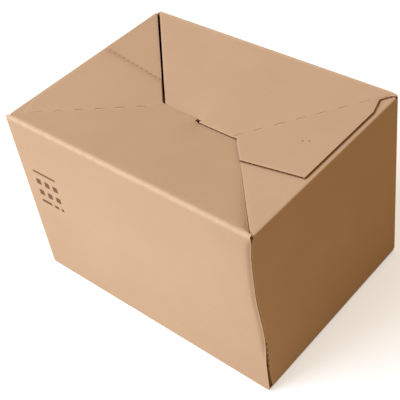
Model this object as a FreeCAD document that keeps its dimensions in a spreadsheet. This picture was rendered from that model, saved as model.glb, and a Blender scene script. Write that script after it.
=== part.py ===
"""Carton of corrugated board, set up square, with its interlocking end uppermost.

The whole carton is one die-cut blank, folded and glued, so it is one solid in one node.
X runs along the long walls, Y along the short ones, and Z is up. The origin is at the
middle of the closed end that the carton stands on. All lengths are in millimetres.
"""
import FreeCAD, Part
import os

import Sketcher

doc = FreeCAD.newDocument("Carton")

# Driving sizes
SIZES = {
    # Outside of the carton
    "length": 310,
    "width": 225,
    "height": 210,
    # Thickness of the board, which is also the outer radius of a scored fold
    "board": 3,
    # Length of the small hole that the die leaves at each corner, between two folds
    "corner_hole": 3.5,
    # The line in the middle of the upper end where the four flaps run together
    "valley_length": 92,
    "valley_drop": 19.3,
    # Each long flap reaches this far past the middle, over the other flap or under it
    "edge_lap": 2,
    # The long flaps change places, over to under, in a stretch that is short at the hook hole
    # and wide at the hinge, where the twist dies out
    "hook_ramp": 3,
    "hinge_ramp": 150,
    "hook_hole_length": 4,
    "hook_hole_width": 3,
    # Free cut edges between two flaps: the tight one, and the one that stands open
    "slit_width": 0.8,
    "slot_width": 3.4,
    # Tab of a long flap, glued on top of the short flap
    "tab_past_middle": 30,
    "tab_inset": 2.5,
    "tab_bevel_start": 77,
    "tab_bevel_end": 98,
    "tab_bevel_inset": 9,
    # A tab runs this far under the crease that it hangs from, so that the two are one sheet,
    # and the short flap under it stops this far before the crease
    "crease_overlap": 1,
    "crease_setback": 1.5,
    # Flaps of the closed end
    "seam_width": 1,
    "inner_flap_reach": 105,
    # Glue tab inside the glued corner, and the gap where the two have come apart at the foot
    "glue_tab_width": 35,
    "glue_gap_width": 2.5,
    "glue_gap_height": 75,
    "glue_gap_depth": 28,
    # The glued corner is pressed in above that gap
    "press_depth": 4.5,
}
sheet = doc.addObject("Spreadsheet::Sheet", "Sizes")
for row, (word, size) in enumerate(SIZES.items(), start=1):
    sheet.set(f"A{row}", word)
    sheet.set(f"B{row}", str(size))
    sheet.setAlias(f"B{row}", word)
doc.recompute()

# Places that follow from the sizes, written as formulas of the sheet
BOARD = "Sizes.board"
SIDE = "(Sizes.length / 2)"
FRONT = "(Sizes.width / 2)"
HINGE_SIDE = f"({SIDE} - {BOARD})"
HINGE_FRONT = f"({FRONT} - {BOARD})"
FOLD_END_SIDE = f"({SIDE} - Sizes.corner_hole)"
FOLD_END_FRONT = f"({FRONT} - Sizes.corner_hole)"
# The long walls reach one board further up and down than the short walls
LOW = f"(2 * {BOARD})"
HIGH = f"(Sizes.height - 2 * {BOARD})"
LONG_HINGE = f"(Sizes.height - {BOARD})"
SHORT_HINGE = HIGH
VALLEY_END = "(Sizes.valley_length / 2)"
# The slope of a short flap, from its hinge to the end of the valley
SHORT_RUN = f"({HINGE_SIDE} - {VALLEY_END})"
SHORT_SLOPE = f"atan(Sizes.valley_drop / {SHORT_RUN})"
SHORT_REACH = f"({SHORT_RUN} / cos({SHORT_SLOPE}))"

body = doc.addObject("PartDesign::Body", "carton")
body.Label = "carton"


def origin_item(role):
    """The body's own origin plane or axis with this role."""
    return next(item for item in body.Origin.OriginFeatures if item.Role == role)


def value_of(formula):
    """What a formula of the sheet comes to with the sizes as they stand."""
    return float(sheet.evalExpression(formula))


def sketch(name, role, shift=(), slope=None):
    """A sketch on an origin plane, moved by formulas and, where a slope is given, turned about Y."""
    drawing = body.newObject("Sketcher::SketchObject", name)
    drawing.AttachmentSupport = [(origin_item(role), "")]
    drawing.MapMode = "FlatFace"
    if slope:
        about_y = FreeCAD.Rotation(FreeCAD.Vector(0, 1, 0), value_of(slope))
        drawing.AttachmentOffset = FreeCAD.Placement(FreeCAD.Vector(), about_y)
        drawing.setExpression("AttachmentOffset.Rotation.Angle", slope)
    for axis, formula in shift:
        drawing.setExpression(f"AttachmentOffset.Base.{axis}", formula)
    return drawing


def hold(drawing, edge, point, kind, formula):
    """Holds a point of an edge, 1 its start, 2 its end or 3 its centre, at a formula."""
    row = drawing.addConstraint(
        Sketcher.Constraint(kind, -1, 1, edge, point, value_of(formula))
    )
    drawing.setExpression(f"Constraints[{row}]", formula)


def end_at(drawing, edge, place):
    """Which end of an edge lies at a place, 1 for its start or 2 for its end."""
    line = drawing.Geometry[edge]
    to_start = line.StartPoint.distanceToPoint(place)
    return 1 if to_start < line.EndPoint.distanceToPoint(place) else 2


def outline(drawing, corners):
    """Closes an outline through its corners, each a pair of formulas.

    A corner with a third entry, the centre, is reached by a quarter round about that centre.
    """
    places = [FreeCAD.Vector(value_of(x), value_of(y), 0) for x, y, *_ in corners]
    for edge, (_, _, *centre) in enumerate(corners):
        begin, end = places[edge - 1], places[edge]
        if centre:
            middle = FreeCAD.Vector(value_of(centre[0][0]), value_of(centre[0][1]), 0)
            outward = (begin + end - middle * 2).normalize() * (begin - middle).Length
            drawing.addGeometry(Part.Arc(begin, middle + outward, end))
        else:
            drawing.addGeometry(Part.LineSegment(begin, end))
    for edge, (x, y, *centre) in enumerate(corners):
        following = (edge + 1) % len(corners)
        point = end_at(drawing, edge, places[edge])
        drawing.addConstraint(Sketcher.Constraint(
            "Coincident", edge, point, following, end_at(drawing, following, places[edge])
        ))
        hold(drawing, edge, point, "DistanceX", x)
        hold(drawing, edge, point, "DistanceY", y)
        if centre:
            hold(drawing, edge, 3, "DistanceX", centre[0][0])
    return drawing


def loft(kind, name, sections):
    """A loft through flat outlines with straight runs between them."""
    shell = body.newObject(f"PartDesign::{kind}", name)
    shell.Profile = (sections[0], [""])
    shell.Sections = [(section, [""]) for section in sections[1:]]
    shell.Ruled = True
    return shell


# Walls: a tube, with the glue tab inside its front right corner
def bulge(share):
    """How much of the full press a level has, this share of the way up the pressed height."""
    return 1 - (2 * share - 1) ** 4


# Each level of the tube: its height, how far the glued corner is pressed in, and its gap
LEVELS = [(LOW, "0", "Sizes.glue_gap_width"), ("Sizes.glue_gap_height", "0", "0")]
for share in (0.1, 0.25, 0.5, 0.75, 0.9):
    rise = f"Sizes.glue_gap_height + {share} * ({HIGH} - Sizes.glue_gap_height)"
    LEVELS.append((rise, f"{bulge(share)} * Sizes.press_depth", "0"))
LEVELS.append((HIGH, "0", "0"))


def outer_section(name, level, pressed):
    """Outside of the tube: three scored folds, and a square glued corner."""
    return outline(sketch(name, "XY_Plane", [("z", level)]), [
        (f"-{SIDE}", f"-{HINGE_FRONT}"),
        (f"-{HINGE_SIDE}", f"-{FRONT}", (f"-{HINGE_SIDE}", f"-{HINGE_FRONT}")),
        (f"{SIDE} - {pressed}", f"-{FRONT}"),
        (SIDE, HINGE_FRONT),
        (HINGE_SIDE, FRONT, (HINGE_SIDE, HINGE_FRONT)),
        (f"-{HINGE_SIDE}", FRONT),
        (f"-{SIDE}", HINGE_FRONT, (f"-{HINGE_SIDE}", HINGE_FRONT)),
    ])


def inner_section(name, level, pressed, gap):
    """Inside of the tube, which steps round the glue tab."""
    tab_front = f"-({HINGE_FRONT} - {BOARD} - {gap})"
    tab_end = f"{HINGE_SIDE} - {pressed} - Sizes.glue_tab_width"
    return outline(sketch(name, "XY_Plane", [("z", level)]), [
        (f"-{HINGE_SIDE}", f"-{HINGE_FRONT}"),
        (tab_end, f"-{HINGE_FRONT}"),
        (tab_end, tab_front),
        (f"{HINGE_SIDE} - {pressed}", tab_front),
        (HINGE_SIDE, HINGE_FRONT),
        (f"-{HINGE_SIDE}", HINGE_FRONT),
    ])


loft("AdditiveLoft", "Walls", [
    outer_section(f"Outside{index}", level, pressed)
    for index, (level, pressed, _) in enumerate(LEVELS)
])
loft("SubtractiveLoft", "Hollow", [
    inner_section(f"Inside{index}", level, pressed, gap)
    for index, (level, pressed, gap) in enumerate(LEVELS)
])


def cut(name, drawing, corners, depth):
    """A cut against the direction that its drawing faces."""
    pocket = body.newObject("PartDesign::Pocket", name)
    pocket.Profile = (outline(drawing, corners), [""])
    pocket.setExpression("Length", depth)
    return pocket


cut("GlueGap", sketch("GlueGapOutline", "YZ_Plane", [("z", f"{SIDE} + {BOARD}")]), [
    (f"-{HINGE_FRONT}", "Sizes.glue_gap_height"),
    (f"-{HINGE_FRONT}", "0"),
    (f"Sizes.glue_gap_width - {HINGE_FRONT}", "0"),
    (f"Sizes.glue_gap_width - {HINGE_FRONT}", LOW),
], f"Sizes.glue_gap_depth + 2 * {BOARD}")


# Folds of the front and left walls at both ends, each a quarter round one board thick
def strip(name, role, corners, half_length):
    """A section drawn across a fold, run the same way to both sides of the middle."""
    pad = body.newObject("PartDesign::Pad", name)
    pad.Profile = (outline(sketch(f"{name}Section", role), corners), [""])
    pad.SideType = "Symmetric"
    pad.setExpression("Length", f"2 * {half_length}")
    return pad


front_fold = strip("FrontFold", "YZ_Plane", [
    (f"-{FRONT}", HIGH),
    (f"-{HINGE_FRONT}", HIGH),
    (f"-{HINGE_FRONT}", "Sizes.height"),
    (f"-{FRONT}", LONG_HINGE, (f"-{HINGE_FRONT}", LONG_HINGE)),
], FOLD_END_SIDE)
left_fold = strip("LeftFold", "XZ_Plane", [
    (f"-{HINGE_SIDE}", SHORT_HINGE),
    (f"-{HINGE_SIDE}", LONG_HINGE),
    (f"-{SIDE}", SHORT_HINGE, (f"-{HINGE_SIDE}", SHORT_HINGE)),
], FOLD_END_FRONT)

# Closed end: the short flaps inside, and the long flaps outside, meeting in the middle
left_end = strip("LeftEndFlap", "XZ_Plane", [
    (f"Sizes.inner_flap_reach - {HINGE_SIDE}", BOARD),
    (f"Sizes.inner_flap_reach - {HINGE_SIDE}", LOW),
    (f"-{SIDE}", LOW),
    (f"-{HINGE_SIDE}", BOARD, (f"-{HINGE_SIDE}", LOW)),
], FOLD_END_FRONT)
front_end = strip("FrontEndFlap", "YZ_Plane", [
    ("-Sizes.seam_width / 2", "0"),
    ("-Sizes.seam_width / 2", BOARD),
    (f"-{HINGE_FRONT}", BOARD),
    (f"-{HINGE_FRONT}", LOW),
    (f"-{FRONT}", LOW),
    (f"-{FRONT}", BOARD),
    (f"-{HINGE_FRONT}", "0", (f"-{HINGE_FRONT}", BOARD)),
], FOLD_END_SIDE)


# Left flap and the tab on top of it, both on the slope from the left wall to the valley's end
def sloping_sheet(name, under_side, corners):
    """A sheet of board on the left slope, with its under side at this height at the hinge.

    It is drawn on the slope, and runs straight up, so that its hinge end is upright.
    """
    pad = body.newObject("PartDesign::Pad", name)
    shift = [("x", f"-{HINGE_SIDE}"), ("z", under_side)]
    drawing = sketch(f"{name}Outline", "XY_Plane", shift, SHORT_SLOPE)
    pad.Profile = (outline(drawing, corners), [""])
    pad.UseCustomVector = True
    pad.Direction = FreeCAD.Vector(0, 0, 1)
    pad.AlongSketchNormal = False
    pad.setExpression("Length", BOARD)
    return pad


left_flap = sloping_sheet("LeftFlap", SHORT_HINGE, [
    ("0", f"Sizes.crease_setback - {HINGE_FRONT}"),
    (f"{SHORT_REACH} - Sizes.crease_setback", "0"),
    ("0", f"{FOLD_END_FRONT} - Sizes.slit_width"),
])
tab_start = "0.03"
front_tab = sloping_sheet("FrontTab", LONG_HINGE, [
    (
        f"{SHORT_REACH} * {tab_start} + Sizes.crease_overlap",
        f"-{HINGE_FRONT} * (1 - {tab_start}) - Sizes.crease_overlap",
    ),
    (f"{SHORT_REACH} + Sizes.crease_overlap", "-Sizes.crease_overlap"),
    (f"{SHORT_REACH} * (1 - Sizes.tab_past_middle / {HINGE_FRONT})", "Sizes.tab_past_middle"),
    ("Sizes.tab_inset", "Sizes.tab_past_middle"),
    ("Sizes.tab_inset", "-Sizes.tab_bevel_start"),
    ("Sizes.tab_bevel_inset", "-Sizes.tab_bevel_end"),
])


# Front flap: from a straight hinge to a valley edge that steps from over to under
def flap_section(name, place, left, right, ramp, over, under):
    """The front flap's sheet cut across: it lies over on the left, and under past the ramp."""
    return outline(sketch(name, "XZ_Plane", [("z", place)]), [
        (left, over),
        (f"-{ramp} / 2", over),
        (f"{ramp} / 2", under),
        (right, under),
        (right, f"{under} + {BOARD}"),
        (f"{ramp} / 2", f"{under} + {BOARD}"),
        (f"-{ramp} / 2", f"{over} + {BOARD}"),
        (left, f"{over} + {BOARD}"),
    ])


lap_share = f"(1 + Sizes.edge_lap / {HINGE_FRONT})"
front_flap = loft("AdditiveLoft", "FrontFlap", [
    flap_section(
        "FrontFlapHinge", HINGE_FRONT, f"-{FOLD_END_SIDE}", FOLD_END_SIDE,
        "Sizes.hinge_ramp", LONG_HINGE, LONG_HINGE,
    ),
    flap_section(
        "FrontFlapEdge", "-Sizes.edge_lap",
        f"Sizes.crease_overlap - {VALLEY_END}", f"{VALLEY_END} - Sizes.slit_width",
        "Sizes.hook_ramp", f"{LONG_HINGE} - Sizes.valley_drop * {lap_share}",
        f"{LONG_HINGE} - (Sizes.valley_drop + {BOARD}) * {lap_share}",
    ),
])

# The back and the right are the front and the left turned half round
half_turn = body.newObject("PartDesign::PolarPattern", "HalfTurn")
half_turn.Originals = [
    front_fold, left_fold, left_end, front_end, left_flap, front_tab, front_flap
]
half_turn.Axis = (origin_item("Z_Axis"), [""])
half_turn.Occurrences = 2
half_turn.Angle = 360
body.Tip = half_turn


# Cuts through the flaps of the upper end, drawn above it and run down
above = [("z", "Sizes.height + Sizes.board")]
flap_depth = f"Sizes.valley_drop + 5 * {BOARD}"
slot_end_y = "(Sizes.edge_lap + Sizes.crease_overlap)"
slot_end_x = f"({VALLEY_END} + {SHORT_RUN} * {slot_end_y} / {HINGE_FRONT})"
cut("OpenSlot", sketch("OpenSlotOutline", "XY_Plane", above), [
    (f"-{FOLD_END_SIDE}", FOLD_END_FRONT),
    (f"-{slot_end_x} - Sizes.slot_width / 2", slot_end_y),
    (f"Sizes.slot_width / 2 - {slot_end_x}", slot_end_y),
    (f"Sizes.slot_width - {FOLD_END_SIDE}", FOLD_END_FRONT),
], flap_depth)
hole_x, hole_y = "(Sizes.hook_hole_length / 2)", "(Sizes.hook_hole_width / 2)"
cut("HookHole", sketch("HookHoleOutline", "XY_Plane", above), [
    (f"-{hole_x}", f"-{hole_y}"),
    (hole_x, f"-{hole_y}"),
    (hole_x, hole_y),
    (f"-{hole_x}", hole_y),
], flap_depth)

# Checks, then the file
doc.recompute()
for item in doc.Objects:
    if "Invalid" in item.State or "Error" in item.State:
        raise RuntimeError(f"{item.Name} could not be made: {item.State}")
carton = body.Shape
if carton.isNull() or not carton.isValid() or len(carton.Solids) != 1:
    raise RuntimeError("the carton is not one sound solid")
os.makedirs("parts", exist_ok=True)
carton.exportStep("parts/carton.step")
print(f"carton: volume {carton.Volume:.0f}, faces {len(carton.Faces)}, box {carton.BoundBox}")
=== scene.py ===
# %% [markdown]
# A carton is one sheet of corrugated board, cut and scored flat by a die, then folded and glued.
# This lesson models it the same way: each wall and flap starts as a flat grid, is cut to its
# outline, and is then folded by a formula that carries every point from the flat sheet to its
# place on the carton. The board itself is built as the real one is, from two thin liners with a
# wavy sheet glued between them, so that every cut edge shows its flutes.

# %% Load the frame
import math
from collections import namedtuple

import bmesh
import bpy
from mathutils import Matrix, Vector, noise


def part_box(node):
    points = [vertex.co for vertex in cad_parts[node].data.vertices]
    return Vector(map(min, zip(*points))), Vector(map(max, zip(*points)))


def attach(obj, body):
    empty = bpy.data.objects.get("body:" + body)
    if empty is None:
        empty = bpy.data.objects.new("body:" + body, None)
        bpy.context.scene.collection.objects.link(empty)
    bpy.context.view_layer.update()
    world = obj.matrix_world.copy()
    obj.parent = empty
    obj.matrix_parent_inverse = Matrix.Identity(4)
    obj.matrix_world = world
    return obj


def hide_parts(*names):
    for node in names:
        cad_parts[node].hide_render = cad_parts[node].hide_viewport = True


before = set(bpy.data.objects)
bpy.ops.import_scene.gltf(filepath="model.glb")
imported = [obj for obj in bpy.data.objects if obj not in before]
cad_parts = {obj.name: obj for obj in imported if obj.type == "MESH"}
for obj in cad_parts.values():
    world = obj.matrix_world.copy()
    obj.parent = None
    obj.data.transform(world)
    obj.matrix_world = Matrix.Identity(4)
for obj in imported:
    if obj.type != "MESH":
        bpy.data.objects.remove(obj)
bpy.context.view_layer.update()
low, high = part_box("carton")
print("carton in the frame, from", low[:], "to", high[:])

# %% [markdown]
# The sizes come from the frame where it has them. The rest are the real sizes of the board: a
# 3 mm single wall, with flutes about 6 mm apart, and the folds and cuts that the die made.

# %% Sizes
MM = 0.001
SIDE, FRONT, HEIGHT = high.x, high.y, high.z
BOARD = 3 * MM
LINER = 0.4 * MM
MEDIUM = 0.25 * MM
FLUTE_PITCH = 6.3 * MM
HINGE_SIDE = SIDE - BOARD
HINGE_FRONT = FRONT - BOARD
LONG_HINGES = (BOARD, HEIGHT - BOARD)
SHORT_HINGES = (2 * BOARD, HEIGHT - 2 * BOARD)
VALLEY_HALF = 46 * MM
VALLEY_DROP = 19.3 * MM
SHORT_RUN = HINGE_SIDE - VALLEY_HALF
EDGE_LAP = 2 * MM
FOLD_ARC = 2.4 * MM
TIGHT_RADIUS = 0.9 * MM
LEAST_RADIUS = 0.3 * MM
GLUE_TAB = 35 * MM
PRESS_DEPTH, PRESS_FOOT = 4.5 * MM, 76 * MM
GAP_WIDTH, GAP_HEIGHT = 2.5 * MM, 40 * MM
NICK_DEPTH, NICK_PITCH = 2.6 * MM, 16 * MM
NICK_FOOT, NICK_TOP = 26 * MM, 80 * MM
WALL_SINK, FLAP_SINK, SINK_NOISE = 1.1 * MM, 0.7 * MM, 18
print("board", BOARD / MM, "mm, of which each liner is", LINER / MM, "mm")

# %% [markdown]
# The walls are a ring of flat legs with a fold between each two. Going round the carton from the
# glue tab, which sits behind the front wall's right end, the ring passes the right wall, the back,
# the left and the front, whose right end is a free cut edge. Each leg keeps the direction in which
# it runs, the direction that its printed side faces, and how far out that side lies.

# %% Legs of the ring
Leg = namedtuple("Leg", "name along outward reach start end turn hinges")
RIGHT, BACK = Vector((1, 0, 0)), Vector((0, 1, 0))
UP = Vector((0, 0, 1))
LEGS = [
    Leg("glue_tab", RIGHT, -BACK, HINGE_FRONT, SIDE - BOARD - GLUE_TAB, SIDE, TIGHT_RADIUS, SHORT_HINGES),
    Leg("right", BACK, RIGHT, SIDE, -HINGE_FRONT, FRONT, BOARD, SHORT_HINGES),
    Leg("back", -RIGHT, BACK, FRONT, -SIDE, SIDE, BOARD, LONG_HINGES),
    Leg("left", -BACK, -RIGHT, SIDE, -FRONT, FRONT, BOARD, SHORT_HINGES),
    Leg("front", RIGHT, -BACK, FRONT, -SIDE, SIDE - 0.2 * MM, 0, LONG_HINGES),
]
BY_NAME = {leg.name: leg for leg in LEGS}

# Where each leg's flat part starts along the ring, at the outer face
GIRTH = {}
travelled, radius_before = 0.0, 0.0
for leg in LEGS:
    first, last = leg.start + radius_before, leg.end - leg.turn
    GIRTH[leg.name] = (travelled, first, last)
    travelled += last - first + leg.turn * math.pi / 2
    radius_before = leg.turn
print("the ring is", round(travelled / MM), "mm round")


# %% [markdown]
# A grid primitive is the start of every sheet. It gets one line of points for each station that
# the sheet needs, close together at folds and cut edges and wider apart in between, and each
# point then slides to its two stations.

# %% Flat grids with chosen stations
def stations(first, last, step, fine=(0.5, 1.5, 3.0, 5.5, 9.5)):
    """Places from first to last, close together at both ends and about a step apart between."""
    near = [first + f * MM for f in fine]
    far = [last - f * MM for f in reversed(fine)]
    count = max(1, round((far[0] - near[-1]) / step))
    middle = [near[-1] + (far[0] - near[-1]) * k / count for k in range(1, count)]
    return [first] + near + middle + far + [last]


def flat_grid(name, columns, rows):
    """A flat sheet in X and Y with one point for each column and row."""
    bpy.ops.object.select_all(action="DESELECT")
    across, up = len(columns) - 1, len(rows) - 1
    bpy.ops.mesh.primitive_grid_add(x_subdivisions=across, y_subdivisions=up, size=2)
    sheet = bpy.context.object
    sheet.name = sheet.data.name = name
    for point in sheet.data.vertices:
        column = round((point.co.x + 1) / 2 * across)
        row = round((point.co.y + 1) / 2 * up)
        point.co = (columns[column], rows[row], 0)
    return sheet


# %% [markdown]
# The die's work is done on the flat sheet in edit mode. Bisect cuts all the selected faces along
# a line, so only the faces close to a cut are selected for it, and the faces outside the outline
# are then deleted. Two more lines just inside each cut edge give the sheet the points that it
# needs where the die has pinched the board.

# %% Cut a flat sheet to an outline
PINCH_LINES = (0.0, 0.7 * MM, 1.8 * MM)


def to_segment(place, start, end):
    """How far a place in the plane is from a straight line between two others."""
    run = end - start
    share = max(0.0, min(1.0, (place - start).dot(run) / run.length_squared))
    return (place - start - run * share).length


def inside(place, corners):
    """Whether a place in the plane lies inside an outline."""
    within = False
    for (x1, y1), (x2, y2) in zip(corners, corners[1:] + corners[:1]):
        if (y1 > place.y) != (y2 > place.y) and place.x < x1 + (place.y - y1) * (x2 - x1) / (y2 - y1):
            within = not within
    return within


def score(sheet, start, end, reach=9 * MM):
    """Cuts the faces near a line along it, without parting them."""
    start, end = Vector(start), Vector(end)
    work = bmesh.from_edit_mesh(sheet.data)
    for face in work.faces:
        face.select_set(to_segment(face.calc_center_median().xy, start, end) < reach)
    bmesh.update_edit_mesh(sheet.data)
    run = (end - start).normalized()
    bpy.ops.mesh.bisect(plane_co=(*start, 0), plane_no=(-run.y, run.x, 0), threshold=0.02 * MM)


def drop_faces(sheet, unwanted):
    """Deletes the faces whose middle passes a test."""
    work = bmesh.from_edit_mesh(sheet.data)
    for face in work.faces:
        face.select_set(unwanted(face.calc_center_median().xy))
    bmesh.update_edit_mesh(sheet.data)
    bpy.ops.mesh.delete(type="FACE")


def edit(sheet):
    """Takes one sheet into edit mode with faces to be picked."""
    bpy.ops.object.select_all(action="DESELECT")
    bpy.context.view_layer.objects.active = sheet
    sheet.select_set(True)
    bpy.ops.object.mode_set(mode="EDIT")
    bpy.ops.mesh.select_mode(type="FACE")


def free_edges(corners):
    """The cut edges of an outline, which are all but those at its fold."""
    pairs = list(zip(corners, corners[1:] + corners[:1]))
    return [(Vector(a), Vector(b)) for a, b in pairs if max(a[1], b[1]) > 0]


def cut_out(sheet, corners, lines=PINCH_LINES):
    """Cuts a flat sheet to an outline, given counter-clockwise."""
    edit(sheet)
    for start, end in free_edges(corners):
        run = (end - start).normalized()
        inwards = Vector((-run.y, run.x))
        for line in lines:
            score(sheet, start + inwards * line, end + inwards * line)
    drop_faces(sheet, lambda place: not inside(place, corners))
    bpy.ops.mesh.select_all(action="SELECT")
    bpy.ops.mesh.remove_doubles(threshold=0.05 * MM)
    bpy.ops.object.mode_set(mode="OBJECT")


# %% [markdown]
# Outlines of the flaps, as pairs of lengths in the flat sheet: how far along the hinge from its
# middle, and how far out from it. The fold itself takes up the first stretch below zero. A long
# flap carries a tab, beyond a diagonal crease, that is glued on top of the short flap beside it.

# %% Outlines of the flaps
FOLD_END = SIDE - 3.2 * MM
SHORT_FOLD_END = HINGE_FRONT - 0.8 * MM
CORNER_HOLE = 3.2 * MM
LONG_REACH = HINGE_FRONT + EDGE_LAP
HOOK_HALF = 2.4 * MM
HOOK_DEPTH = 4 * MM
TAB_INSET = 2.5 * MM
TAB_REACH = HINGE_FRONT + 30 * MM
SLIT, SLOT = 0.3 * MM, 3.4 * MM
CREASE_START = Vector((-HINGE_SIDE, 0))
CREASE_END = Vector((-VALLEY_HALF, HINGE_FRONT))


def long_flap_outline(gap):
    """A long flap with its tab. The gap is what its free slanting edge leaves open."""
    if gap > SLIT:
        free_corner = [(FOLD_END - gap, -FOLD_ARC), (FOLD_END - gap, 0)]
        free_corner.append((VALLEY_HALF + 1.2 * MM, LONG_REACH - 5 * MM))
    else:
        free_corner = [(SIDE - 0.5 * MM, -FOLD_ARC), (SIDE - 0.5 * MM, 0), (FOLD_END - 0.6 * MM, 0.7 * MM)]
    return [
        (-SIDE + MM, -FOLD_ARC),
        *free_corner,
        (VALLEY_HALF - SLIT, LONG_REACH),
        (HOOK_HALF, LONG_REACH),
        (HOOK_HALF, LONG_REACH - HOOK_DEPTH),
        (-HOOK_HALF, LONG_REACH - HOOK_DEPTH),
        (-HOOK_HALF, LONG_REACH),
        (-VALLEY_HALF - 3 * MM, LONG_REACH + 0.5 * MM),
        (-VALLEY_HALF - 4.6 * MM, LONG_REACH + 1 * MM),
        (-VALLEY_HALF - 30.3 * MM, TAB_REACH),
        (-HINGE_SIDE + TAB_INSET, TAB_REACH),
        (-HINGE_SIDE + TAB_INSET, HINGE_FRONT - 77 * MM),
        (-HINGE_SIDE + 9 * MM, HINGE_FRONT - 98 * MM),
        (-HINGE_SIDE + 2.6 * MM, 2.3 * MM),
        (-SIDE + MM, 0),
    ]


def short_flap_outline(hole):
    """A short flap, cut back at one end of its fold where the carton's corner has a hole."""
    return [
        (-SHORT_FOLD_END, -FOLD_ARC),
        (SHORT_FOLD_END - hole, -FOLD_ARC),
        (SHORT_FOLD_END - hole, hole * SHORT_RUN / SHORT_FOLD_END),
        (0, SHORT_RUN - 1.0 * MM),
        (-SHORT_FOLD_END, 0),
    ]


END_TAPER, SHORT_END_REACH = 1.5 * MM, 105 * MM
LONG_END = [
    (-FOLD_END, -FOLD_ARC),
    (FOLD_END, -FOLD_ARC),
    (FOLD_END, 0),
    (FOLD_END - END_TAPER, HINGE_FRONT - 0.5 * MM),
    (-FOLD_END + END_TAPER, HINGE_FRONT - 0.5 * MM),
    (-FOLD_END, 0),
]
SHORT_END = [
    (-SHORT_FOLD_END, -FOLD_ARC),
    (SHORT_FOLD_END, -FOLD_ARC),
    (SHORT_FOLD_END, 0),
    (SHORT_FOLD_END - END_TAPER, SHORT_END_REACH),
    (-SHORT_FOLD_END + END_TAPER, SHORT_END_REACH),
    (-SHORT_FOLD_END, 0),
]


# %% [markdown]
# The folding is a set of formulas. A point of the flat sheet is given by where it is along the
# ring, how high it is, and how deep it lies in the board: no depth is the printed face, and a
# depth of one board is the inside face. Near a cut edge the die has pinched the board, so there
# both faces draw in towards the middle of the board.

# %% Fold the walls
PINCH, PINCH_WIDTH, WALL_PINCH = 0.2, 0.9 * MM, 0.12
EDGE_CRUSH, EDGE_CRUSH_WIDTH = 0.8, 2.4 * MM
ABOVE_GAP, BELOW_TOP, PRESS_REACH = 30 * MM, 12 * MM, 60 * MM
INNER_FOLD_REACH, GAP_REACH = 8 * MM, 30 * MM
NICK_REACH_TAB, NICK_REACH_WALL = 6 * MM, 4 * MM


def ease(share):
    """A share from 0 to 1 that starts and stops gently."""
    share = max(0.0, min(1.0, share))
    return share * share * (3 - 2 * share)


def fade(distance, width):
    """1 at a line and less further from it."""
    return math.exp(-((distance / width) ** 2))


def pinch(depth, to_edge, most=PINCH):
    """The depth of a point, drawn to the middle of the board near a cut edge."""
    squeeze = most * fade(to_edge, PINCH_WIDTH)
    return BOARD / 2 + (depth - BOARD / 2) * (1 - squeeze)


def crush(depth, lost):
    """The depth of a point where the board has lost a share of its thickness from outside."""
    return BOARD - (BOARD - depth) * (1 - lost)


def pressed(height):
    """How far the glued corner is pushed in at this height."""
    share = (height - PRESS_FOOT) / (SHORT_HINGES[1] - PRESS_FOOT)
    if not 0 < share < 1:
        return 0.0
    return PRESS_DEPTH * ease(share / 0.45) * (1 - max(0.0, 2 * share - 1) ** 4)


def parted(height):
    """How far the glue tab has come away from the front wall at this height."""
    return GAP_WIDTH * ease(1 - height / GAP_HEIGHT)


def nicked(height):
    """How far in the glue tab's fold lies at this height, in the row of cuts above the gap."""
    share = (height - NICK_FOOT) / (NICK_TOP - NICK_FOOT)
    if not 0 < share < 1:
        return 0.0
    fresh = ease(4 * share) * ease(4 * (1 - share))
    return NICK_DEPTH * fresh * math.sin(2 * math.pi * height / NICK_PITCH) ** 2


def hollow(leg, place, height):
    """How far the middle of a wall has sunk in: nothing at its folds, and uneven between."""
    across = (place - leg.start) / (leg.end - leg.start)
    rise = (height - leg.hinges[0]) / (leg.hinges[1] - leg.hinges[0])
    if not (0 < across < 1 and 0 < rise < 1):
        return 0.0
    uneven = 0.55 + 0.45 * noise.noise(Vector((place, height, leg.reach)) * SINK_NOISE)
    return WALL_SINK * uneven * math.sin(math.pi * across) * math.sin(math.pi * rise)


def find_leg(girth):
    """The leg at a place along the ring, how far along it, and the share of its fold turned."""
    for leg in LEGS:
        begin, first, last = GIRTH[leg.name]
        flat = last - first
        if girth <= begin + flat + 1e-6:
            return leg, first + girth - begin, 0.0
        if girth < begin + flat + leg.turn * math.pi / 2 - 1e-6:
            return leg, last, (girth - begin - flat) / (leg.turn * math.pi / 2)
    raise ValueError(f"{girth} is past the end of the ring")


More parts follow.
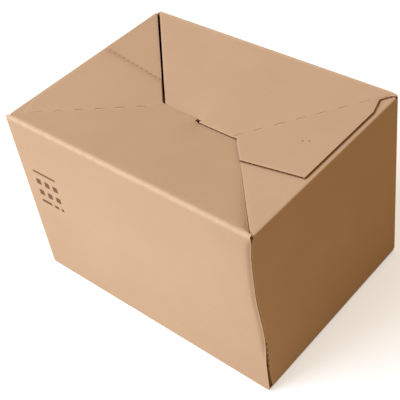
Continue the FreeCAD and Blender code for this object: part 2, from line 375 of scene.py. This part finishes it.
def wall_point(girth, rise, depth):
    """A place on the walls: along the ring, the share of the way up, and into the board."""
    leg, place, turned = find_leg(girth)
    following = LEGS[(LEGS.index(leg) + 1) % len(LEGS)]
    bottom = leg.hinges[0] + (following.hinges[0] - leg.hinges[0]) * turned
    top = leg.hinges[1] + (following.hinges[1] - leg.hinges[1]) * turned
    if leg.name == "glue_tab":
        taper = 9 * MM * (leg.end - place) / (leg.end - leg.start) * (1 - turned)
        bottom, top = bottom + taper, top - taper
    height = bottom + (top - bottom) * rise
    if leg.name == "front":
        to_edge = leg.end - place
        # Between the gap and the top, this edge is crushed onto the fold behind it
        lost = EDGE_CRUSH * fade(to_edge, EDGE_CRUSH_WIDTH)
        lost *= ease((height - GAP_HEIGHT) / ABOVE_GAP) * ease((LONG_HINGES[1] - height) / BELOW_TOP)
        depth = crush(pinch(depth, to_edge, WALL_PINCH), lost)
    if turned:
        radius = max(leg.turn - depth, LEAST_RADIUS)
        angle = turned * math.pi / 2
        corner = leg.outward * (leg.reach - depth - radius) + leg.along * (leg.end - depth - radius)
        spot = corner + (leg.outward * math.cos(angle) + leg.along * math.sin(angle)) * radius
    else:
        if leg.name in ("glue_tab", "right"):
            # The tight fold's inner face starts later than its outer face
            late = max(0.0, depth + LEAST_RADIUS - TIGHT_RADIUS)
            to_corner = leg.end - place if leg.name == "glue_tab" else place - leg.start
            moved = late * max(0.0, 1 - (to_corner - TIGHT_RADIUS) / INNER_FOLD_REACH)
            place += moved if leg.name == "right" else -moved
        spot = leg.outward * (leg.reach - depth - hollow(leg, place, height)) + leg.along * place
    near_glue = 0.0
    if leg.name == "right" and not turned:
        near_glue = (leg.end - place) / (leg.end - leg.start)
    elif leg.name == "glue_tab":
        near_glue = 1.0
    elif leg.name == "front":
        near_glue = ease(1 - (leg.end - place) / PRESS_REACH)
    spot -= RIGHT * pressed(height) * near_glue
    if leg.name == "glue_tab":
        to_corner = 0.0 if turned else leg.end - place
        spot += BACK * (parted(height) + nicked(height) * fade(to_corner, NICK_REACH_TAB))
    elif leg.name == "right" and not turned:
        to_corner = place - leg.start
        spot += BACK * parted(height) * max(0.0, 1 - to_corner / GAP_REACH)
        spot += BACK * nicked(height) * max(0.0, 1 - (to_corner - TIGHT_RADIUS) / NICK_REACH_WALL)
    return spot + UP * height


# %% [markdown]
# The upper flaps slope in to a short valley. Each long flap is over the other one on its left half
# and under it on its right half, and changes between the two in a twist that is tight at the hook
# in the middle and dies out towards the hinge. The tabs follow the slope of the short flaps, and
# the crease between a flap and its tab is a soft valley where the two slopes meet.

# %% Fold the flaps
HOOK_RAMP, HINGE_RAMP = 3 * MM, 150 * MM
VALLEY_SOFTNESS = 0.25 * MM
ROUND_FOLD, SHARP_FOLD = 1.0, 0.42


def long_flap_drop(along, out):
    """How far a long flap's printed face lies below its hinge line."""
    share = out / HINGE_FRONT
    ramp = HINGE_RAMP + (HOOK_RAMP - HINGE_RAMP) * min(1.0, out / LONG_REACH)
    under = ease(along / ramp + 0.5)
    sheet = (VALLEY_DROP + BOARD * under) * share
    sunk = FLAP_SINK * math.sin(math.pi * min(1.0, max(0.0, share))) * math.sin(
        math.pi * max(0.0, min(1.0, (along + HINGE_SIDE) / (2 * HINGE_SIDE)))
    )
    tab = VALLEY_DROP * (along + HINGE_SIDE) / SHORT_RUN
    # The lesser drop of the two slopes, with the corner between them rounded
    apart = tab - (sheet + sunk)
    return max(0.0, (tab + sheet + sunk - math.sqrt(apart * apart + VALLEY_SOFTNESS * VALLEY_SOFTNESS)) / 2)


def short_flap_drop(along, out):
    """How far a short flap's printed face lies below its hinge line."""
    return VALLEY_DROP * out / SHORT_RUN


def no_drop(along, out):
    """The flaps of the closed end lie level."""
    return 0.0


def flap_point(leg, upper, drop, along, out, depth):
    """A place on a flap: along its hinge, out from it, and into the board."""
    way = 1 if upper else -1
    hinge = leg.hinges[1 if upper else 0]
    if out < 0:
        # The long flaps fold over a round, and the short flaps over a sharp score
        sharpness = ROUND_FOLD if leg.hinges == LONG_HINGES else SHARP_FOLD
        angle = math.pi / 2 * (1 + out / FOLD_ARC)
        radius = max(BOARD - depth, LEAST_RADIUS)
        spot = leg.outward * (leg.reach - BOARD + radius * max(0.0, math.cos(angle)) ** sharpness)
        height = hinge + way * radius * max(0.0, math.sin(angle)) ** sharpness
    else:
        spot = leg.outward * (leg.reach - BOARD - out)
        height = hinge + way * (BOARD - depth - drop(along, out))
    return spot + leg.along * along + UP * height


# %% [markdown]
# The diagonal crease of a long flap is not only pressed but cut through at every 20 mm, so that it
# folds easily. Each cut opens a little, and its two lips stand up. Someone has also poked the tab
# in three places. All of this is worked out as a change of height near the crease, and the sheet
# gets extra lines there to carry it.

# %% Cuts in the diagonal crease, and three dents
CUT_PITCH, FIRST_CUT = 20.2 * MM, 8.1 * MM
CUT_OPENING = (0.3, 0.5, 0.7, 1.0, 1.0, 1.3, 0.9, 0.5)
CUT_HALF, CUT_END = 4.8 * MM, 1.2 * MM
CUT_LINES = (-2.4 * MM, -1.3 * MM, -0.65 * MM, 0.0, 0.65 * MM, 1.3 * MM, 2.4 * MM)
CUT_DEPTH, LIP_HEIGHT = 1.9 * MM, 0.7 * MM
CREASE_MARGIN, CUT_REACH, MARK_REACH = 5 * MM, 1.5 * MM, 3 * MM
# Each dent's place, its radius and its depth
DENTS = (
    (Vector((-115 * MM, HINGE_FRONT - 16 * MM)), 1.3 * MM, 1.9 * MM),
    (Vector((-121 * MM, HINGE_FRONT - 18 * MM)), 1.3 * MM, 1.9 * MM),
    (Vector((-141.7 * MM, HINGE_FRONT - 17.5 * MM)), 0.8 * MM, 0.8 * MM),
)


def crease_frame():
    """The direction of the crease in the flat sheet, and the direction across it."""
    run = (CREASE_END - CREASE_START).normalized()
    return run, Vector((-run.y, run.x))


def cut_relief(along, out):
    """How far the printed face stands up, or sinks, at the cuts in the crease."""
    run, side = crease_frame()
    place = Vector((along, out)) - CREASE_START
    across = abs(place.dot(side))
    nearest = round((place.dot(run) - FIRST_CUT) / CUT_PITCH)
    if across > CUT_LINES[-1] or not 0 <= nearest < len(CUT_OPENING):
        return 0.0
    from_middle = abs(place.dot(run) - FIRST_CUT - nearest * CUT_PITCH)
    opened = ease((CUT_HALF - from_middle) / CUT_END) * CUT_OPENING[nearest]
    lip = LIP_HEIGHT * (1 - across / CUT_LINES[-1]) ** 2
    slit = (CUT_DEPTH + LIP_HEIGHT) * max(0.0, 1 - across / CUT_LINES[4])
    return opened * (lip - slit)


def dent_relief(along, out):
    """How far the printed face sinks at the dents."""
    sunk = 0.0
    for place, radius, depth in DENTS:
        off = (Vector((along, out)) - place).length / radius
        sunk += depth * math.exp(-(off ** 4))
    return -sunk


def score_marks(sheet, dented):
    """Gives a flat long flap the extra lines that its cuts and dents need."""
    run, side = crease_frame()
    edit(sheet)
    for line in CUT_LINES:
        first = CREASE_START + run * CREASE_MARGIN + side * line
        score(sheet, first, CREASE_END + side * line, CREASE_MARGIN)
    for cut in range(len(CUT_OPENING)):
        middle = FIRST_CUT + cut * CUT_PITCH
        for step in (-CUT_HALF, -CUT_HALF + CUT_END, CUT_HALF - CUT_END, CUT_HALF):
            crossing = CREASE_START + run * (middle + step)
            score(sheet, crossing - side * CUT_REACH, crossing + side * CUT_REACH, MARK_REACH)
    for place, radius, _ in DENTS if dented else ():
        for step in (-1.7, -1.2, -0.8, -0.4, 0, 0.4, 0.8, 1.2, 1.7):
            aside, ahead = Vector((step * radius, 0)), Vector((0, step * radius))
            score(sheet, place + aside - Vector((0, MM)), place + aside + Vector((0, MM)), MARK_REACH)
            score(sheet, place + ahead - Vector((MM, 0)), place + ahead + Vector((MM, 0)), MARK_REACH)
    bpy.ops.object.mode_set(mode="OBJECT")


# %% [markdown]
# A sheet is finished in the same three steps wherever it sits. Its flat places are kept as a UV
# map, so that the paper's grain runs with the board, and how pale each point is painted goes into
# an attribute. The outside of the folds is rubbed paler. Along the long folds and the cut edges this
# pale paint is partly wear and partly a painted highlight where they catch the light, and on the
# lips of the crease cuts it is only a painted highlight. Then each point moves to its folded place.

# %% Keep the flat places, then fold
def keep_flat(sheet, girth_shift, height_of):
    """Stores where each point was in the flat blank, in metres, as the sheet's UV map."""
    chart = sheet.data.uv_layers.active or sheet.data.uv_layers.new()
    chart.name = "blank"
    for loop in sheet.data.loops:
        place = sheet.data.vertices[loop.vertex_index].co
        chart.data[loop.index].uv = (place.x + girth_shift, height_of(place.y))


def keep_wear_and_highlight(sheet, wear_and_highlight_of):
    """Stores how pale each point is painted, from 0 to 1: wear, and painted highlight."""
    attribute = sheet.data.attributes.new("wear_and_highlight", "FLOAT", "POINT")
    for point in sheet.data.vertices:
        attribute.data[point.index].value = wear_and_highlight_of(point.co.x, point.co.y)


# Pale paint along folds, cut edges and cut lips: wear, and a painted highlight where they catch the light
FOLD_WEAR_AND_HIGHLIGHT_WIDTH = 1.5 * MM
EDGE_WEAR_AND_HIGHLIGHT, EDGE_WEAR_AND_HIGHLIGHT_WIDTH, LIP_HIGHLIGHT = 0.8, 0.7 * MM, 0.9
UPRIGHT_WEAR, UPRIGHT_WEAR_WIDTH = 0.5, 1.2 * MM
TAB_CRUSH, TAB_CRUSH_WIDTH, TAB_CRUSH_REACH = 0.6, 2 * MM, 18 * MM
FAR_CRUSH, FAR_CRUSH_WIDTH, TAB_EASE = 0.78, 4.5 * MM, 20 * MM
FREE_CRUSH, FREE_CRUSH_WIDTH = 0.75, 2.5 * MM
FREE_CRUSH_START, FREE_CRUSH_END = 5 * MM, 75 * MM


def flap_crush(leg_name, along, out, to_edge):
    """The share of its thickness that an upper long flap has lost at a place."""
    if leg_name == "front" and along > VALLEY_HALF:
        # The front flap's free edge is crushed between its hinge and about half way in
        begin, end = ease(out / FREE_CRUSH_START), ease(1 - out / FREE_CRUSH_END)
        return FREE_CRUSH * fade(to_edge, FREE_CRUSH_WIDTH) * begin * end
    # A tab is crushed next to its hinge, and the front one also along its far edge
    lost = TAB_CRUSH * fade(to_edge, TAB_CRUSH_WIDTH) * ease(1 - out / TAB_CRUSH_REACH)
    if leg_name == "front":
        lost = max(lost, FAR_CRUSH * fade(min(0.0, out - TAB_REACH), FAR_CRUSH_WIDTH))
    return lost * ease((-along - VALLEY_HALF) / TAB_EASE)


def make_flap(
    name, leg_name, upper, outline, drop, depth_of, columns, rows, lines=PINCH_LINES, rim=None, marked=False
):
    """A flap cut from a flat grid and folded to its place."""
    leg = BY_NAME[leg_name]
    sheet = flat_grid(name, columns, rows)
    cut_out(sheet, outline, lines)
    edges = free_edges(outline)
    dented = leg_name == "back"
    if marked:
        score_marks(sheet, dented)
    if rim:
        edit(sheet)
        drop_faces(sheet, lambda place: min(to_segment(place, a, b) for a, b in edges) > rim)
        bpy.ops.object.mode_set(mode="OBJECT")
    begin, first, _ = GIRTH[leg_name]
    hinge = leg.hinges[1 if upper else 0]
    way = 1 if upper else -1
    keep_flat(sheet, begin - first, lambda out: hinge + way * (out + FOLD_ARC))
    gap_to_edge = {}
    for point in sheet.data.vertices:
        place = point.co.xy
        gap_to_edge[point.co.to_tuple(6)] = min(to_segment(place, a, b) for a, b in edges)

    def wear_and_highlight_of(along, out):
        to_edge = gap_to_edge[Vector((along, out, 0)).to_tuple(6)]
        # The long fold's outside is painted paler, partly as wear and partly as a painted highlight
        rubbed_and_lit_fold = fade(max(0.0, out), FOLD_WEAR_AND_HIGHLIGHT_WIDTH) if leg.hinges == LONG_HINGES else 0.0
        # The lips of the cuts get a painted highlight
        lip_highlight = LIP_HIGHLIGHT * max(0.0, cut_relief(along, out)) / LIP_HEIGHT if marked else 0.0
        # Cut edges are painted paler, partly as wear and partly as a painted highlight
        return max(rubbed_and_lit_fold, EDGE_WEAR_AND_HIGHLIGHT * fade(to_edge, EDGE_WEAR_AND_HIGHLIGHT_WIDTH), lip_highlight)

    keep_wear_and_highlight(sheet, wear_and_highlight_of)
    for point in sheet.data.vertices:
        along, out = point.co.x, point.co.y
        to_edge = gap_to_edge[point.co.to_tuple(6)]
        depth = pinch(depth_of(along), to_edge)
        if upper and leg.hinges == LONG_HINGES:
            depth = crush(depth, flap_crush(leg_name, along, out, to_edge))
        point.co = flap_point(leg, upper, drop, along, out, depth)
        if marked:
            point.co.z += cut_relief(along, out) + (dent_relief(along, out) if dented else 0.0)
    if not upper:
        edit(sheet)
        bpy.ops.mesh.select_all(action="SELECT")
        bpy.ops.mesh.flip_normals()
        bpy.ops.object.mode_set(mode="OBJECT")
    return sheet


# %% [markdown]
# The walls need no cutting, only folding: their grid has a column for each station along the
# ring and a row for each height.

# %% Walls
def fold_columns():
    """Stations round the whole ring, with six steps to each fold."""
    places = []
    for leg in LEGS:
        begin, first, last = GIRTH[leg.name]
        places += [begin + place - first for place in stations(first, last, 5 * MM)]
        turn = leg.turn * math.pi / 2
        places += [begin + last - first + turn * step / 6 for step in range(1, 6)] if turn else []
    return places


def wall_rows():
    """Shares of the way up a wall, close together at the folds."""
    tall = LONG_HINGES[1] - LONG_HINGES[0]
    low_part = stations(0, NICK_FOOT, 7 * MM)[:-1]
    count = math.ceil((NICK_TOP - NICK_FOOT) / (NICK_PITCH / 14))
    nicks = [NICK_FOOT + (NICK_TOP - NICK_FOOT) * k / count for k in range(count)]
    high_part = stations(NICK_TOP, tall, 7 * MM)
    return [place / tall for place in low_part + nicks + high_part]


def make_walls(name, depth_of, columns, rows):
    """All the walls and the glue tab, folded round the ring."""
    sheet = flat_grid(name, columns, rows)
    tall = LONG_HINGES[1] - LONG_HINGES[0]
    keep_flat(sheet, 0, lambda rise: LONG_HINGES[0] + rise * tall)

    def wear_and_highlight_of(girth, rise):
        leg, place, turned = find_leg(girth)
        _, first, last = GIRTH[leg.name]
        to_fold = 0 if turned else min(last - place, place - first)
        # The top fold is painted paler, partly as wear and partly as a painted highlight; the upright folds
        # are rubbed paler
        top_fold = fade((1 - rise) * tall, FOLD_WEAR_AND_HIGHLIGHT_WIDTH) if leg.hinges == LONG_HINGES else 0.0
        upright = 0.0 if leg.name == "glue_tab" else UPRIGHT_WEAR * fade(to_fold, UPRIGHT_WEAR_WIDTH)
        return max(top_fold, upright)

    keep_wear_and_highlight(sheet, wear_and_highlight_of)
    for point in sheet.data.vertices:
        girth, rise = point.co.x, point.co.y
        point.co = wall_point(girth, rise, depth_of(girth))
    return sheet


# %% [markdown]
# A liner is the whole blank at one depth: the walls and the eight flaps, joined at their folds
# into one sheet. Solidify then gives it the thickness of the paper. The outer liner starts at
# the printed face, and the inner one ends at the inside face.

# %% Join a liner
def join(name, sheets):
    """Joins sheets into one piece and merges the points that they share."""
    bpy.ops.object.select_all(action="DESELECT")
    for sheet in sheets:
        sheet.select_set(True)
    bpy.context.view_layer.objects.active = sheets[0]
    bpy.ops.object.join()
    piece = bpy.context.object
    piece.name = piece.data.name = name
    edit(piece)
    bpy.ops.mesh.select_all(action="SELECT")
    bpy.ops.mesh.remove_doubles(threshold=0.01 * MM)
    bpy.ops.object.mode_set(mode="OBJECT")
    return piece


def thicken(piece, thickness):
    """Gives a sheet its thickness, inwards from the face that it was folded at."""
    solidify = piece.modifiers.new("paper", "SOLIDIFY")
    solidify.thickness = thickness
    solidify.offset = -1
    bpy.ops.object.modifier_apply(modifier=solidify.name)
    bpy.ops.object.shade_smooth_by_angle(angle=math.radians(40))


FOLD_ROWS = [-FOLD_ARC + FOLD_ARC * step / 6 for step in range(6)]


def flap_stations(half, reach, step):
    """Columns and rows of a flap's grid."""
    return stations(-half, half, step), FOLD_ROWS + stations(0, reach, step)


def make_liner(name, depth, marked=False):
    """One liner of the board, at a depth below the printed face."""
    def at(_):
        return depth
    sheets = [make_walls(f"{name}_walls", at, fold_columns(), wall_rows())]
    long_columns, long_rows = flap_stations(SIDE - 0.5 * MM, TAB_REACH, 5 * MM)
    short_columns, short_rows = flap_stations(SHORT_FOLD_END, SHORT_RUN, 5 * MM)
    for leg_name, gap in (("front", SLIT), ("back", SLOT)):
        sheets.append(make_flap(
            f"{name}_{leg_name}_flap", leg_name, True, long_flap_outline(gap), long_flap_drop,
            at, long_columns, long_rows, marked=marked,
        ))
        sheets.append(make_flap(
            f"{name}_{leg_name}_end", leg_name, False, LONG_END, no_drop,
            at, long_columns, long_rows,
        ))
    for leg_name, hole in (("left", CORNER_HOLE), ("right", 0.1 * MM)):
        sheets.append(make_flap(
            f"{name}_{leg_name}_flap", leg_name, True, short_flap_outline(hole), short_flap_drop,
            at, short_columns, short_rows,
        ))
        sheets.append(make_flap(
            f"{name}_{leg_name}_end", leg_name, False, SHORT_END, no_drop,
            at, short_columns, short_rows,
        ))
    piece = join(name, sheets)
    thicken(piece, LINER)
    print(name, "has", len(piece.data.polygons), "faces")
    return piece


outer_liner = make_liner("outer_liner", 0, marked=True)
inner_liner = make_liner("inner_liner", BOARD - LINER)


# %% [markdown]
# Between the liners runs the fluted sheet. It shows only at the cut edges, so it is made only
# along them, in a band as wide as anyone can see in. Its flutes run from one end of the carton
# to the other, up the walls and straight on through the flaps.

# %% Fluted sheet along the cut edges
FLUTE_STEPS = 8
RIM, ROW_STEP = 9 * MM, 4.5 * MM
WAVE = (BOARD - 2 * LINER - MEDIUM) / 2


def flute_depth(along):
    """The depth of the fluted sheet, which waves between the two liners."""
    return BOARD / 2 - MEDIUM / 2 + WAVE * math.sin(2 * math.pi * along / FLUTE_PITCH)


def flute_columns(half):
    """Columns of a flap's grid that follow the wave."""
    step = FLUTE_PITCH / FLUTE_STEPS
    count = math.ceil(half / step)
    return [k * step for k in range(-count, count + 1)]


def flute_rows(reach):
    """Rows of a flap's grid, a few millimetres apart."""
    count = round(reach / ROW_STEP)
    return [-FOLD_ARC, -FOLD_ARC / 2] + [reach * k / count for k in range(count + 1)]


flutes = []
for leg_name, gap in (("front", SLIT), ("back", SLOT)):
    flutes.append(make_flap(
        f"flutes_{leg_name}_flap", leg_name, True, long_flap_outline(gap), long_flap_drop,
        flute_depth, flute_columns(FOLD_END), flute_rows(TAB_REACH), (0.0,), RIM,
    ))
    flutes.append(make_flap(
        f"flutes_{leg_name}_end", leg_name, False, LONG_END, no_drop,
        flute_depth, flute_columns(FOLD_END), flute_rows(HINGE_FRONT), (0.0,), RIM,
    ))
for leg_name, hole in (("left", CORNER_HOLE), ("right", 0.1 * MM)):
    flutes.append(make_flap(
        f"flutes_{leg_name}_flap", leg_name, True, short_flap_outline(hole), short_flap_drop,
        flute_depth, flute_columns(SHORT_FOLD_END), flute_rows(SHORT_RUN), (0.0,), RIM,
    ))
front_begin, front_first, front_last = GIRTH["front"]
front_end = front_begin + front_last - front_first
edge_columns = [front_end - k * FLUTE_PITCH / FLUTE_STEPS for k in range(2 * FLUTE_STEPS, -1, -1)]
flutes.append(make_walls("flutes_wall_edge", flute_depth, edge_columns, wall_rows()))
fluting = join("fluting", flutes)
thicken(fluting, MEDIUM)
print("fluting has", len(fluting.data.polygons), "faces")


# %% [markdown]
# The front wall carries a plain printed block: a bar, six squares and a broken bar, in one dark
# ink. Ink lies on the paper as a film, so each shape is a small grid that is carried to the wall
# by the same folding formula, a hair outside the printed face.

# %% Printed shapes on the front wall
INK_MIDDLE = (-119 * MM, 125 * MM)
INK_LIFT, INK_FILM = 0.1 * MM, 0.05 * MM
INK_SHAPES = [(0, 21, 33, 2.6), (-9, -20, 15, 3.6), (6, -20, 6.5, 3.6), (15, -20, 4, 3.6)]
INK_SHAPES += [(x, y, 7, 7) for x in (-12.5, 0, 12.5) for y in (-7.5, 7.5)]


def print_shape(name, across, up, width, tall):
    """One printed shape, given in millimetres from the middle of the block."""
    middle = (INK_MIDDLE[0] + across * MM, INK_MIDDLE[1] + up * MM)
    cells_x, cells_y = max(2, round(width / 2)), max(2, round(tall / 2))
    columns = [middle[0] + width * MM * (k / cells_x - 0.5) for k in range(cells_x + 1)]
    rows = [middle[1] + tall * MM * (k / cells_y - 0.5) for k in range(cells_y + 1)]
    sheet = flat_grid(name, columns, rows)
    begin, first, _ = GIRTH["front"]
    keep_flat(sheet, begin - first, lambda height: height)
    for point in sheet.data.vertices:
        rise = (point.co.y - LONG_HINGES[0]) / (LONG_HINGES[1] - LONG_HINGES[0])
        point.co = wall_point(begin + point.co.x - first, rise, -INK_LIFT)
    return sheet


printed = join("printed_shapes", [
    print_shape(f"shape_{number}", *shape) for number, shape in enumerate(INK_SHAPES)
])
thicken(printed, INK_FILM)
print("printed shapes:", len(INK_SHAPES))


# %% [markdown]
# Brown board is never one colour. Its liner is a mat of long and short fibres, a little darker and
# lighter in clouds a few centimetres wide, with fine streaks along the machine's run and a few
# dark flecks. Faint lines show where the flutes are glued under it. The pattern reads the flat
# blank's own map, so it runs round the folds as it does on the real sheet.

# %% Board material
def linear(red, green, blue):
    """A colour as a screen shows it, from 0 to 255, turned into the light that it stands for."""
    def one(value):
        value /= 255
        return value / 12.92 if value <= 0.04045 else ((value + 0.055) / 1.055) ** 2.4
    return (one(red), one(green), one(blue), 1)


class Nodes:
    """A material's nodes, each added and joined up in one call."""

    def __init__(self, name):
        self.material = bpy.data.materials.new(name)
        self.material.use_nodes = True
        self.tree = self.material.node_tree
        self.tree.nodes.clear()

    def add(self, kind, inputs=None, **settings):
        """Adds a node, sets its settings, and sets or links its inputs."""
        node = self.tree.nodes.new(kind)
        for key, value in settings.items():
            setattr(node, key, value)
        for key, value in (inputs or {}).items():
            if isinstance(value, bpy.types.NodeSocket):
                self.tree.links.new(value, node.inputs[key])
            else:
                node.inputs[key].default_value = value
        return node

    def maths(self, operation, *values, clamp=False):
        """A sum on one to three values."""
        node = self.add("ShaderNodeMath", dict(enumerate(values)), operation=operation)
        node.use_clamp = clamp
        return node.outputs[0]

    def noise(self, vector, scale, detail=3.0, roughness=0.55):
        """Cloudy noise from 0 to 1."""
        inputs = {"Vector": vector, "Scale": scale, "Detail": detail, "Roughness": roughness}
        return self.add("ShaderNodeTexNoise", inputs).outputs["Fac"]

    def stretch(self, vector, x, y, z=1.0):
        """A pattern's places, scaled."""
        node = self.add("ShaderNodeMapping", {"Vector": vector, "Scale": (x, y, z)})
        return node.outputs[0]

    def spread(self, value, low, high, to_low=0.0, to_high=1.0):
        """A value's range carried to another range."""
        inputs = {"Value": value, "From Min": low, "From Max": high, "To Min": to_low, "To Max": to_high}
        return self.add("ShaderNodeMapRange", inputs).outputs[0]

    def blend(self, share, first, second, kind="MIX"):
        """Two colours mixed."""
        node = self.add("ShaderNodeMix", data_type="RGBA", blend_type=kind)
        for key, value in ((0, share), (6, first), (7, second)):
            if isinstance(value, bpy.types.NodeSocket):
                self.tree.links.new(value, node.inputs[key])
            else:
                node.inputs[key].default_value = value
        return node.outputs[2]

    def finish(self, color, roughness, height, bump_distance):
        """Ends the material in its shader."""
        bump = self.add("ShaderNodeBump", {"Height": height, "Distance": bump_distance, "Strength": 0.6})
        inputs = {"Base Color": color, "Roughness": roughness, "Normal": bump.outputs[0]}
        shader = self.add("ShaderNodeBsdfPrincipled", inputs)
        shader.inputs["Specular IOR Level"].default_value = 0.25
        self.add("ShaderNodeOutputMaterial", {"Surface": shader.outputs[0]})
        return self.material


KRAFT = linear(222, 187, 154)
KRAFT_DARK = linear(213, 177, 143)
# The pale colour of wear, and of painted highlights on folds, cut edges and cut lips
KRAFT_PALE_WEAR_AND_HIGHLIGHT = linear(238, 203, 170)
FLECK = linear(150, 112, 78)
INK = linear(112, 78, 50)
INK_THIN = linear(150, 114, 82)


def kraft_paper(name, shade_tint=None, worn_and_highlit=True):
    """Uncoated brown liner, patterned on the flat blank."""
    nodes = Nodes(name)
    chart = nodes.add("ShaderNodeUVMap", uv_map="blank").outputs[0]
    clouds = nodes.noise(nodes.stretch(chart, 1, 1), 14, 4)
    grain = nodes.noise(nodes.stretch(chart, 160, 900), 1.0, 4, 0.7)
    streaks = nodes.noise(nodes.stretch(chart, 20, 330), 1.0, 3)
    cloudy = nodes.spread(clouds, 0.3, 0.7, 0, 0.45)
    tone = nodes.maths("ADD", cloudy, nodes.spread(grain, 0.25, 0.75, 0, 0.35))
    tone = nodes.maths("ADD", tone, nodes.spread(streaks, 0.3, 0.7, 0, 0.2), clamp=True)
    color = nodes.blend(tone, KRAFT_DARK, KRAFT)
    flecks = nodes.noise(nodes.stretch(chart, 1, 1), 900, 2)
    color = nodes.blend(nodes.spread(flecks, 0.72, 0.8, 0, 0.35), color, FLECK)
    apart = nodes.add("ShaderNodeSeparateXYZ", {"Vector": chart}).outputs[0]
    wave = nodes.maths("SINE", nodes.maths("MULTIPLY", apart, 2 * math.pi / FLUTE_PITCH))
    color = nodes.blend(nodes.spread(wave, -1, 1, 0, 0.06), color, KRAFT_DARK)
    # Pale paint from the attribute: wear, and painted highlights on folds, cut edges and cut lips
    if worn_and_highlit:
        wear_and_highlight = nodes.add("ShaderNodeAttribute", attribute_name="wear_and_highlight").outputs["Fac"]
        patchy = nodes.spread(nodes.noise(nodes.stretch(chart, 1, 1), 120, 3), 0.25, 0.7, 0.25, 0.8)
        color = nodes.blend(nodes.maths("MULTIPLY", wear_and_highlight, patchy), color, KRAFT_PALE_WEAR_AND_HIGHLIGHT)
    # The tint darkens the paper, partly as painted shade
    if shade_tint:
        color = nodes.blend(1.0, color, (*shade_tint, 1), "MULTIPLY")
    relief = nodes.maths("ADD", nodes.maths("MULTIPLY", grain, 0.5), nodes.maths("MULTIPLY", wave, 0.5))
    return nodes.finish(color, 0.82, relief, 0.05 * MM)


board_face = kraft_paper("board_face")
# The inner liner is darkened as painted shade, for the gaps and slots that look into the carton
board_inside_painted_shade = kraft_paper("board_inside_painted_shade", shade_tint=(0.7, 0.56, 0.46), worn_and_highlit=False)
# The fluting is darkened partly to its own darker colour and partly as painted shade on the cut edges
board_fluting_with_painted_shade = kraft_paper("board_fluting_with_painted_shade", shade_tint=(0.4, 0.28, 0.2), worn_and_highlit=False)


def printing_ink(name):
    """Flat ink that has sunk into the paper unevenly."""
    nodes = Nodes(name)
    chart = nodes.add("ShaderNodeUVMap", uv_map="blank").outputs[0]
    patchy = nodes.noise(chart, 500, 4, 0.7)
    color = nodes.blend(nodes.spread(patchy, 0.35, 0.65), INK, INK_THIN)
    return nodes.finish(color, 0.7, patchy, 0.02 * MM)


ink = printing_ink("printing_ink")
FINISHES = (
    (outer_liner, board_face), (inner_liner, board_inside_painted_shade), (fluting, board_fluting_with_painted_shade), (printed, ink),
)
for piece, material in FINISHES:
    piece.data.materials.clear()
    piece.data.materials.append(material)
    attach(piece, "root")
    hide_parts("carton")

# %% [markdown]
# The floor is white to the camera and darker to everything else, so that it doesn't throw light
# up the carton's shaded side.

# %% Floor, light and background
bpy.ops.object.select_all(action="DESELECT")
bpy.ops.mesh.primitive_plane_add(size=12)
floor = bpy.context.object
floor.name = "floor"
nodes = Nodes("floor_white")
to_camera = nodes.add("ShaderNodeLightPath").outputs["Is Camera Ray"]
seen = nodes.add("ShaderNodeBsdfDiffuse", {"Color": (0.9, 0.9, 0.9, 1)})
glow = nodes.add("ShaderNodeEmission", {"Color": (1, 1, 1, 1), "Strength": 0.5})
white = nodes.add("ShaderNodeAddShader", {0: seen.outputs[0], 1: glow.outputs[0]})
dim = nodes.add("ShaderNodeBsdfDiffuse", {"Color": (0.45, 0.33, 0.20, 1)})
choice = nodes.add("ShaderNodeMixShader", {0: to_camera, 1: dim.outputs[0], 2: white.outputs[0]})
nodes.add("ShaderNodeOutputMaterial", {"Surface": choice.outputs[0]})
floor.data.materials.append(nodes.material)

world = bpy.data.worlds.new("studio")
bpy.context.scene.world = world
world.use_nodes = True
tree = world.node_tree
tree.nodes.clear()
path = tree.nodes.new("ShaderNodeLightPath")
ambient = tree.nodes.new("ShaderNodeBackground")
ambient.inputs["Color"].default_value = (1.0, 0.735, 0.4, 1)
ambient.inputs["Strength"].default_value = 0.41
backdrop = tree.nodes.new("ShaderNodeBackground")
backdrop.inputs["Color"].default_value = (1, 1, 1, 1)
mix = tree.nodes.new("ShaderNodeMixShader")
out = tree.nodes.new("ShaderNodeOutputWorld")
tree.links.new(path.outputs["Is Camera Ray"], mix.inputs[0])
tree.links.new(ambient.outputs[0], mix.inputs[1])
tree.links.new(backdrop.outputs[0], mix.inputs[2])
tree.links.new(mix.outputs[0], out.inputs["Surface"])


def area_light(name, place, aim, size, energy, color):
    """A soft lamp, wide and tall as its size says, that faces a point and doesn't show itself."""
    lamp = bpy.data.lights.new(name, "AREA")
    lamp.shape = "RECTANGLE"
    lamp.size, lamp.size_y = size
    lamp.energy = energy
    lamp.color = color
    holder = bpy.data.objects.new(name, lamp)
    holder.visible_camera = False
    bpy.context.collection.objects.link(holder)
    holder.location = place
    holder.rotation_euler = (Vector(aim) - Vector(place)).to_track_quat("-Z", "Y").to_euler()
    return holder


area_light("key", (-0.7, -1.15, 1.88), (0, 0, 0.1), (1.2, 1.2), 38.8, (0.708, 0.821, 1.0))
area_light("card", (-0.12, -0.5, 0.09), (-0.12, 0, 0.09), (0.9, 0.16), 1.3, (0.70, 0.838, 1.0))

# %% [markdown]
# The camera stands where a fit to the corners of the photographed carton puts it. Its frame is
# shifted a little, because the fit puts the photograph's optical middle off the frame's middle.

# %% Camera
camera_data = bpy.data.cameras.new("camera")
camera = bpy.data.objects.new("camera", camera_data)
bpy.context.collection.objects.link(camera)
camera_data.sensor_width = 36
camera_data.lens = 80.52
camera_data.shift_x = -0.04
camera_data.shift_y = -0.03
CAMERA_PLACE = Vector((504.66, -481.48, 714.59)) * MM
LOOKS = Vector((-0.53789, 0.52311, -0.66108)).normalized()
CAMERA_UP = Vector((-0.36058, 0.56607, 0.74131)).normalized()
to_right = LOOKS.cross(CAMERA_UP).normalized()
turn = Matrix((to_right, to_right.cross(LOOKS), -LOOKS)).transposed()
camera.matrix_world = Matrix.Translation(CAMERA_PLACE) @ turn.to_4x4()
bpy.context.scene.camera = camera
bpy.context.scene.view_settings.view_transform = "Standard"
